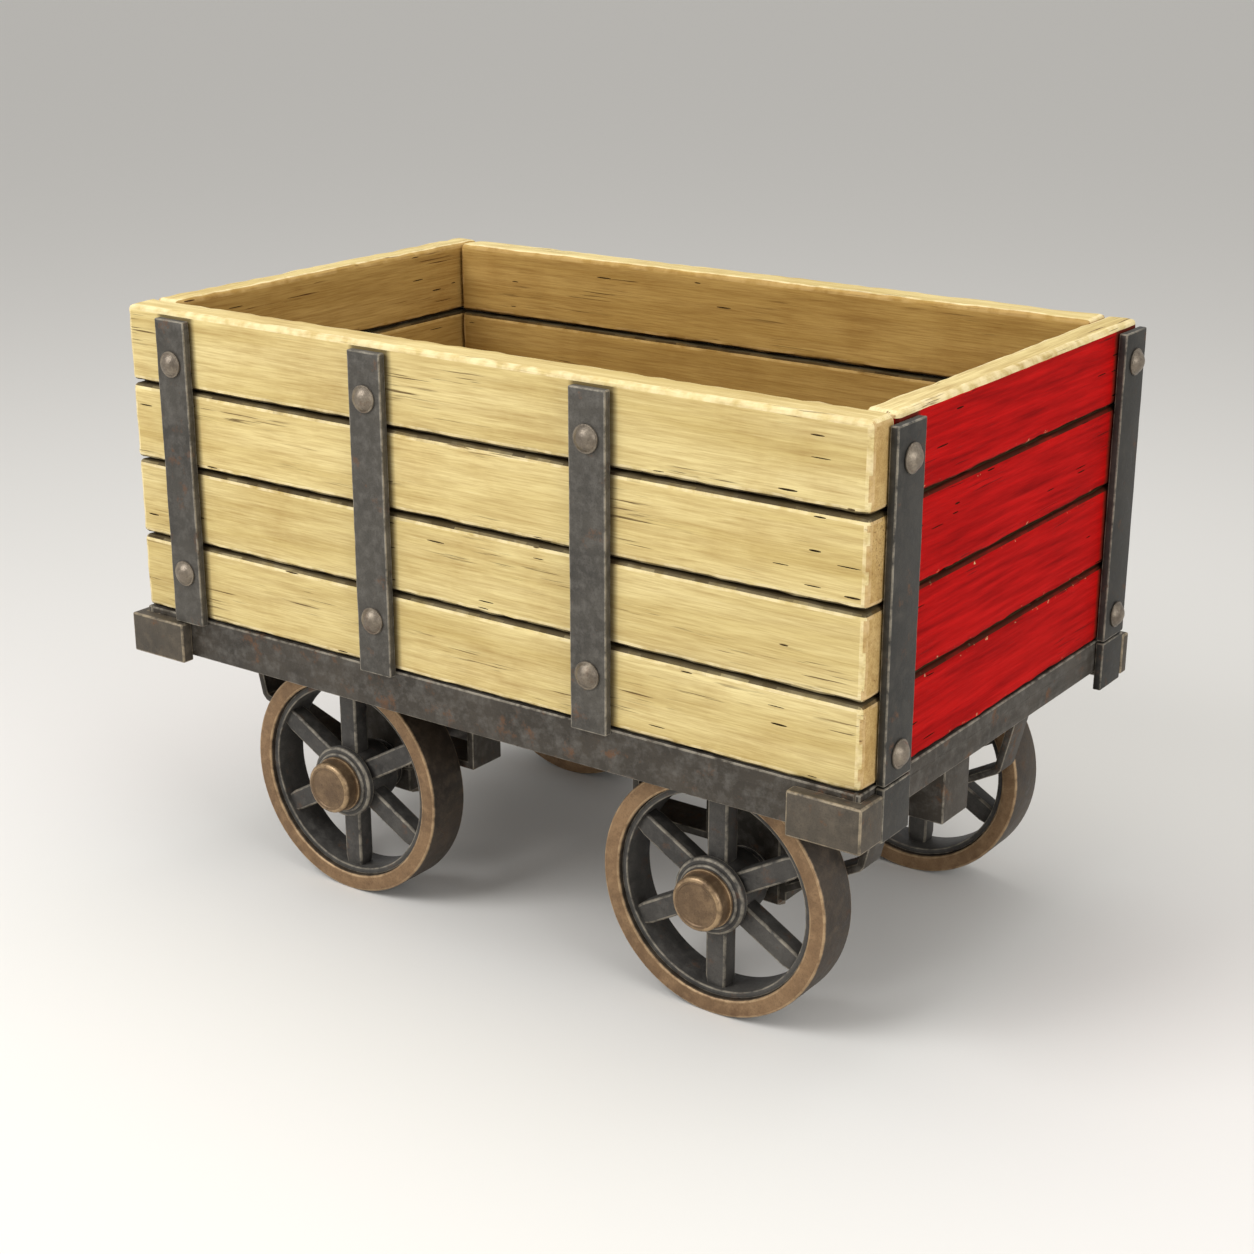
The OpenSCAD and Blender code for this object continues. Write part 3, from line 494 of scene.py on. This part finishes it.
def makeTimber(name, low, high, grainAxis, faceAxis, seed, nicks, rough=1.0):
    chance = random.Random(seed)
    slack = Vector((timber["slack"],) * 3)
    piece = addBlock(name, low + slack, high - slack)
    cutAcross(piece, grainAxis, int((high - low)[grainAxis] / timber["step"]))
    cutAcross(piece, 3 - grainAxis - faceAxis, timber["rows"])
    cutAcross(piece, faceAxis, timber["layers"])
    roundEdges(piece, timber["round"] * rough, timber["roundSteps"])
    edgeGroup(piece)
    applyModifier(piece, "DISPLACE", texture=swellNoise, texture_coords="LOCAL", strength=timber["swell"],
                  mid_level=0.5)
    applyModifier(piece, "DISPLACE", texture=chipNoise, texture_coords="LOCAL", strength=timber["chip"],
                  mid_level=1.0, vertex_group="edge")
    for vert in piece.data.vertices:  # nothing stands out of the board's own space
        vert.co = [min(max(vert.co[i], low[i] + timber["spare"]), high[i] - timber["spare"])
                   for i in range(3)]
    if nicks:
        addNicks(piece, low + slack, high - slack, grainAxis, faceAxis, chance, nicks)
    markEdges(piece, chance.random())
    writeMark(piece, "endGrain", lambda face: abs(face.normal[grainAxis]) > 0.7)
    return piece


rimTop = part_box("near_plank_4")[1].z
rimRound = timber["round"] + 0.001  # height of the rounded rim


def belowRim(face):
    return face.center.z < rimTop - rimRound


def markFaces(obj, axis, outward):  # the board's inner face, which is darkened as painted shade, and its outer face
    writeMark(obj, "inner", lambda face: face.normal[axis] * outward < -0.5)
    writeMark(obj, "outer", lambda face: belowRim(face) and face.normal[axis] * outward > 0.5)


def markJointShade(obj):  # painted shade: the faces inside a joint between two boards are darkened; the rim isn't
    def seam(face):
        if face.center.z > rimTop - timber["rimDepth"] and face.normal.z > 0:
            return 0.0
        return min(1.0, max(0.0, (abs(face.normal.z) - 0.30) / 0.45))
    writeMark(obj, "seam", seam)


for side in ("near", "far"):
    outward = -1 if side == "near" else 1
    for row in range(1, 5):
        node = f"{side}_plank_{row}"
        low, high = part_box(node)
        plank = makeTimber(f"{side}Plank{row}", low, high, 0, 1, 100 * outward + row, timber["nicksEach"])
        markFaces(plank, 1, outward)
        markJointShade(plank)
        finishPiece(plank, sideWood, "cart", node)
for end in ("front", "rear"):
    outward = 1 if end == "front" else -1
    for row in range(1, 5):
        node = f"{end}_board_{row}"
        low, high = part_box(node)
        board = makeTimber(f"{end}Board{row}", low, high, 1, 0, 300 * outward + row, timber["nicksEach"] - 3)
        markFaces(board, 0, outward)
        writeMark(board, "paint", lambda face: belowRim(face) and face.normal.x * outward > 0.1)
        markJointShade(board)
        finishPiece(board, endWood, "cart", node)
print("walls done")

boards = [makeTimber(f"floorBoard{i}", low, high, 1, 2, 500 + i, 0, 0.5)
          for i, (low, high) in enumerate(solidBoxes("floor_boards"))]
# painted shade on the floor boards' side faces, in the gaps between them
for board in boards:
    writeMark(board, "seam", lambda face: abs(face.normal.x) > 0.5)
finishPiece(joinPieces(boards, "floorBoards"), floorWood, "cart", "floor_boards")
print("floor done")


barLook = {"slack": 0.0003, "round": 0.0028, "roundSteps": 2, "step": 0.03, "dent": 0.0014}


def makeBar(name, low, high, longAxis, seed):
    slack = Vector((barLook["slack"],) * 3)
    bar = addBlock(name, low + slack, high - slack)
    cutAcross(bar, longAxis, max(1, int((high - low)[longAxis] / barLook["step"])))
    roundEdges(bar, barLook["round"], barLook["roundSteps"])
    edgeGroup(bar)
    applyModifier(bar, "DISPLACE", texture=forgeNoise, texture_coords="LOCAL", strength=barLook["dent"],
                  mid_level=1.0, vertex_group="edge")
    markEdges(bar, random.Random(seed).random())
    return bar


def barsOf(node, name, longAxis, material):
    boxes = solidBoxes(node)
    bars = [makeBar(f"{name}{i}", *boxes[i], longAxis, 700 + i) for i in range(len(boxes))]
    finishPiece(joinPieces(bars, name), material, "cart", node)


barsOf("side_straps", "sideStraps", 2, strapIron)
# the end straps and their feet use the darker copy, which is painted shade
barsOf("end_straps", "endStraps", 2, shadedStrapIron)
barsOf("strap_feet", "strapFeet", 2, shadedStrapIron)
print("straps done")


domeLook = {"height": 0.013, "radius": 0.021, "collar": 0.0025, "dome": 0.0185, "corners": 36, "rings": 32,
            "round": 0.0012, "spare": 0.0004, "lap": 0.001}


def makeDome():  # on the origin, pointing up
    shape = domeLook
    rise = shape["height"] - shape["collar"]
    ball = (shape["dome"] ** 2 + rise ** 2) / (2 * rise)
    bpy.ops.object.select_all(action="DESELECT")
    bpy.ops.mesh.primitive_uv_sphere_add(segments=shape["corners"], ring_count=shape["rings"], radius=ball,
                                         location=(0, 0, shape["height"] - ball))
    dome = bpy.context.object
    bpy.ops.object.transform_apply(location=True, rotation=True, scale=True)
    startEdit(dome)
    bpy.ops.mesh.select_all(action="SELECT")
    bpy.ops.mesh.bisect(plane_co=(0, 0, shape["collar"]), plane_no=(0, 0, 1), clear_inner=True, use_fill=True)
    bpy.ops.mesh.normals_make_consistent(inside=False)
    endEdit()
    middle = Vector((0, 0, shape["collar"] / 2))
    depth = shape["collar"] + shape["lap"]  # a little into the dome
    collar = addRound("collar", shape["radius"] - shape["spare"], depth, middle, "Z", shape["corners"])
    roundEdges(collar, shape["round"], 2, 50)
    return joinPieces([dome, collar], "dome")


def copyMesh(obj, name, matrix):
    twin = obj.copy()
    twin.data = obj.data.copy()
    twin.name = name
    bpy.context.scene.collection.objects.link(twin)
    twin.data.transform(matrix)
    return twin


pattern = makeDome()
domes = []
for i, (low, high) in enumerate(solidBoxes("strap_screws")):
    middle = (low + high) / 2
    lies = 0 if (high - low)[0] > (high - low)[1] else 1  # screws of the ends lie along X
    side = 1 if middle[lies] > 0 else -1
    tip = high[lies] if side > 0 else low[lies]
    facing = Vector((side, 0, 0)) if lies == 0 else Vector((0, side, 0))
    middle[lies] = tip - side * domeLook["height"]
    turn = facing.to_track_quat("Z", "Y").to_matrix().to_4x4()
    spin = Matrix.Rotation(random.Random(i).uniform(0, 6), 4, "Z")
    dome = copyMesh(pattern, f"dome{i}", Matrix.Translation(middle) @ turn @ spin)
    markEdges(dome, random.Random(900 + i).random())
    domes.append(dome)
bpy.data.objects.remove(pattern)
finishPiece(joinPieces(domes, "strapScrews"), screwIron, "cart", "strap_screws")
print("strap screws done")


def softCopy(node, name, width):  # the CAD shape with its edges taken off
    piece = cadNodes[node].copy()
    piece.data = cadNodes[node].data.copy()
    for key in list(piece.keys()):
        if key.startswith("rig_"):
            del piece[key]
    piece.parent = None
    piece.name = name
    bpy.context.scene.collection.objects.link(piece)
    piece.hide_render = False
    startEdit(piece)
    bpy.ops.mesh.select_all(action="SELECT")
    bpy.ops.mesh.remove_doubles(threshold=1e-6)
    bpy.ops.mesh.dissolve_limited(angle_limit=math.radians(0.5))
    endEdit()
    for face in piece.data.polygons:
        face.material_index = 0
    roundEdges(piece, width, 2, 40, False)
    markEdges(piece, 0.5)
    return piece


for node, name, width, material, slot in (
    ("corner_blocks", "cornerBlocks", 0.0030, blockIron, "frame_iron"),
    ("near_rail", "nearRail", 0.0025, railIron, "frame_iron"),
    ("far_rail", "farRail", 0.0025, railIron, "frame_iron"),
    ("front_beam", "frontBeam", 0.0022, railIron, "frame_iron"),
    ("rear_beam", "rearBeam", 0.0022, railIron, "frame_iron"),
    ("draw_shoes", "drawShoes", 0.0025, railIron, "frame_iron"),
    ("axle_pedestals", "axlePedestals", 0.0030, railIron, "frame_iron"),
    ("axle_keeps", "axleKeeps", 0.0025, railIron, "frame_iron"),
    ("axle_stays", "axleStays", 0.0015, railIron, "frame_iron"),
    ("axle_knees", "axleKnees", 0.0015, railIron, "frame_iron"),
    ("axle_sleeves", "axleSleeves", 0.0008, wheelIron, "frame_iron"),
    ("gear_bolts", "gearBolts", 0.0008, screwIron, "screw_iron"),
    ("frame_bolts", "frameBolts", 0.0006, screwIron, "screw_iron"),
    ("deck_screws", "deckScrews", 0.0006, screwIron, "screw_iron"),
):
    finishPiece(softCopy(node, name, width), material, "cart", node)
for node, name in (("near_bearer", "nearBearer"), ("far_bearer", "farBearer"), ("draw_beam", "drawBeam")):
    finishPiece(softCopy(node, name, 0.003), beamWood, "cart", node)
finishPiece(softCopy("cross_ties", "crossTies", 0.003), beamWood, "cart", "cross_ties")
print("frame done")


wheelShape = {
    "corners": 96, "hubCorners": 64, "tyreRound": 0.0035, "felloe": 0.010, "felloeInset": 0.008,
    "felloeRound": 0.002, "hub": 0.050, "hubRound": 0.003, "bore": 0.0292,
    "collar": 0.059, "collarLong": 0.014, "collarBack": 0.004, "collarRound": 0.004,
    "spokes": 6, "spokeWide": 0.034, "spokeThick": 0.030, "spokeInset": 0.014, "spokeTaper": 0.86,
    "spokeRound": 0.0035, "tyreGap": 0.0002, "felloeGap": 0.0001, "collarLap": 0.004, "spokeLap": 0.006,
}
capShape = {
    "rim": 0.009, "groove": 0.0015, "sunk": 0.0012, "face": 0.012, "faceOut": 0.0008, "round": 0.006,
    "lip": 0.003, "lipLong": 0.005, "lipRound": 0.0015, "lipLap": 0.002, "lipIn": 0.0005,
}


def ring(name, outer, inner, yLow, yHigh, centre, corners):  # a plain ring round a Y axis
    middle = Vector((centre.x, (yLow + yHigh) / 2, centre.z))
    band = addRound(name, outer, yHigh - yLow, middle, "Y", corners)
    startEdit(band)
    pick(band, "faces", lambda face: abs(face.normal.y) > 0.9)
    bpy.ops.mesh.inset(thickness=outer - inner, use_individual=True)
    bpy.ops.mesh.bridge_edge_loops()
    endEdit()
    return band


def turnedCopy(obj, name, centre, angle):
    move = Matrix.Translation(centre) @ Matrix.Rotation(angle, 4, "Y") @ Matrix.Translation(-centre)
    return copyMesh(obj, name, move)


def makeWheel(place):
    tyreLow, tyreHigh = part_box(f"tyre_{place}")
    hubLow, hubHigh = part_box(f"wheel_{place}")
    centre = (tyreLow + tyreHigh) / 2
    outer = (tyreHigh.z - tyreLow.z) / 2
    inner = (hubHigh.z - hubLow.z) / 2
    shape = wheelShape
    faceY, backY = tyreLow.y, tyreHigh.y  # the near wheel's face looks along -Y
    hubFront = hubLow.y

    tyre = ring("tyre", outer, inner + shape["tyreGap"], faceY, backY, centre, shape["corners"])
    roundEdges(tyre, shape["tyreRound"], 3, 50)
    felloe = ring("felloe", inner - shape["felloeGap"], inner - shape["felloe"],
                  faceY + shape["felloeInset"], backY - shape["felloeInset"], centre, shape["corners"])
    roundEdges(felloe, shape["felloeRound"], 2, 50)
    hub = ring("hub", shape["hub"], shape["bore"], hubFront, backY, centre, shape["hubCorners"])
    roundEdges(hub, shape["hubRound"], 3, 50)
    collarY = hubFront + shape["collarBack"]
    collar = ring("collar", shape["collar"], shape["hub"] - shape["collarLap"], collarY,
                  collarY + shape["collarLong"], centre, shape["hubCorners"])
    roundEdges(collar, shape["collarRound"], 3, 50)

    spokeY = faceY + shape["spokeInset"]
    half = shape["spokeWide"] / 2
    hubTop = centre.z + shape["hub"]
    spokeLow = Vector((centre.x - half, spokeY, hubTop - shape["spokeLap"]))  # starts inside the hub
    spokeHigh = Vector((centre.x + half, spokeY + shape["spokeThick"],
                        centre.z + inner - shape["felloe"] / 2))
    spoke = addBlock("spoke", spokeLow, spokeHigh)
    cutAcross(spoke, 2, 5)
    startEdit(spoke)
    pick(spoke, "verts", lambda vert: vert.co.z > centre.z + inner - shape["felloe"])
    bpy.ops.transform.resize(value=(shape["spokeTaper"], shape["spokeTaper"], 1))
    endEdit()
    roundEdges(spoke, shape["spokeRound"], 3)
    step = 2 * math.pi / shape["spokes"]
    spokes = [turnedCopy(spoke, f"spoke{i}", centre, step * i) for i in range(shape["spokes"])]
    bpy.data.objects.remove(spoke)
    for part in (tyre, felloe, hub, collar, *spokes):
        markEdges(part, 0.5)
    return tyre, joinPieces([hub, felloe, collar, *spokes], "wheelCentre")


def makeCap(place):
    low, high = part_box(f"cap_{place}")
    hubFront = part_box(f"wheel_{place}")[0].y
    radius = (high.x - low.x) / 2
    shape = capShape
    middle = Vector(((low.x + high.x) / 2, (low.y + hubFront) / 2, (low.z + high.z) / 2))
    cap = addRound("cap", radius, hubFront - low.y, middle, "Y", wheelShape["hubCorners"])
    startEdit(cap)
    pick(cap, "faces", lambda face: face.normal.y < -0.9)
    bpy.ops.mesh.inset(thickness=shape["rim"])
    bpy.ops.mesh.inset(thickness=shape["groove"])
    bpy.ops.transform.translate(value=(0, shape["sunk"], 0))
    bpy.ops.mesh.inset(thickness=shape["face"])
    bpy.ops.transform.translate(value=(0, -shape["faceOut"], 0))
    endEdit()
    roundEdges(cap, shape["round"], 4, 60)
    lip = ring("lip", radius + shape["lip"], radius - shape["lipLap"], hubFront - shape["lipLong"],
               hubFront + shape["lipIn"], middle, wheelShape["hubCorners"])
    roundEdges(lip, shape["lipRound"], 2, 50)
    for part in (cap, lip):
        markEdges(part, 0.4)
    return joinPieces([cap, lip], "cap")


def placeMatrix(fromCentre, toCentre, half):  # half: turned half round, for the far side
    move = Matrix.Translation(toCentre)
    if half:
        move = move @ Matrix.Rotation(math.pi, 4, "Z")
    return move @ Matrix.Translation(-fromCentre)


first = "front_near"  # the other three wheels are copies of this one
tyrePattern, centrePattern = makeWheel(first)
capPattern = makeCap(first)
firstLow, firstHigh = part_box(f"tyre_{first}")
firstCentre = (firstLow + firstHigh) / 2
for place in ("front_near", "front_far", "rear_near", "rear_far"):
    low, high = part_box(f"tyre_{place}")
    move = placeMatrix(firstCentre, (low + high) / 2, place.endswith("far"))
    body = f"{place}_wheel"
    label = "".join(word.capitalize() for word in place.split("_"))
    tyre = copyMesh(tyrePattern, f"tyre{label}", move)
    finishPiece(tyre, tyreIron, body, f"tyre_{place}")
    tyre.data.materials.append(treadIron)
    for face in tyre.data.polygons:  # the tread is darker than the sides
        face.material_index = 1 if abs(face.normal.y) < 0.35 else 0
    wheel = copyMesh(centrePattern, f"wheel{label}", move)
    finishPiece(wheel, wheelIron, body, f"wheel_{place}")
    finishPiece(copyMesh(capPattern, f"cap{label}", move), capBronze, body, f"cap_{place}")
for pattern in (tyrePattern, centrePattern, capPattern):
    bpy.data.objects.remove(pattern)
print("wheels done")


# CAD nodes that keep their own shape
keptNodes = {
    "edge_dowels": screwIron, "corner_angles": railIron, "front_axle": axleSteel, "rear_axle": axleSteel,
    "axle_nuts": screwIron, "bush_front_near": bushBrass, "bush_front_far": bushBrass,
    "bush_rear_near": bushBrass, "bush_rear_far": bushBrass,
}
for node, material in keptNodes.items():
    for materialSlot in cadNodes[node].material_slots:
        materialSlot.material = material


studio = {
    "floorTone": paint(222, 220, 216), "floorSize": 90.0, "skyTone": (1.0, 0.99, 0.97, 1.0), "skyLight": 0.62,
    "keyPlace": (-1.6, -3.4, 3.6), "keySize": 2.6, "keyPower": 150,
    "fillPlace": (4.2, -1.2, 2.0), "fillSize": 2.4, "fillPower": 72,
    "topPlace": (0.2, 0.4, 4.2), "topSize": 3.0, "topPower": 50,
}

bpy.ops.object.select_all(action="DESELECT")
bpy.ops.mesh.primitive_plane_add(size=studio["floorSize"], location=(0, 0, 0))
ground = bpy.context.object
ground.name = "ground"
groundMaterial = bpy.data.materials.new("groundPlain")
groundMaterial.use_nodes = True
groundShader = groundMaterial.node_tree.nodes["Principled BSDF"]
groundShader.inputs["Base Color"].default_value = studio["floorTone"]
groundShader.inputs["Roughness"].default_value = 0.9
ground.data.materials.append(groundMaterial)

world = bpy.context.scene.world or bpy.data.worlds.new("studioWorld")
bpy.context.scene.world = world
world.use_nodes = True
world.node_tree.nodes["Background"].inputs["Color"].default_value = studio["skyTone"]
world.node_tree.nodes["Background"].inputs["Strength"].default_value = studio["skyLight"]


def addLight(name, place, size, power):
    bpy.ops.object.light_add(type="AREA", location=place)
    lamp = bpy.context.object
    lamp.name = name
    lamp.data.shape = "SQUARE"
    lamp.data.size = size
    lamp.data.energy = power
    lamp.rotation_euler = (Vector((0, 0, 0.5)) - Vector(place)).to_track_quat("-Z", "Y").to_euler()


addLight("keyLight", studio["keyPlace"], studio["keySize"], studio["keyPower"])
addLight("fillLight", studio["fillPlace"], studio["fillSize"], studio["fillPower"])
addLight("topLight", studio["topPlace"], studio["topSize"], studio["topPower"])

eye = {"azimuth": 35.59, "elevation": 19.21, "distance": 3.397, "across": 0.005, "up": -0.253, "lens": 61.73,
       "aim": (0, 0, 0.690)}
azimuth, elevation = math.radians(eye["azimuth"]), math.radians(eye["elevation"])
level = Vector((math.sin(azimuth), -math.cos(azimuth), 0))
backward = level * math.cos(elevation) + Vector((0, 0, math.sin(elevation)))
rightward = Vector((math.cos(azimuth), math.sin(azimuth), 0))
upward = backward.cross(rightward)
bpy.ops.object.camera_add()
camera = bpy.context.object
camera.name = "camera"
camera.location = Vector(eye["aim"]) + backward * eye["distance"]
camera.location += rightward * eye["across"] + upward * eye["up"]
camera.rotation_euler = Matrix((rightward, upward, backward)).transposed().to_euler()
camera.data.lens = eye["lens"]
camera.data.sensor_width = 36
camera.data.dof.use_dof = False
bpy.context.scene.camera = camera
bpy.context.scene.view_settings.view_transform = "Standard"
print("stage set")
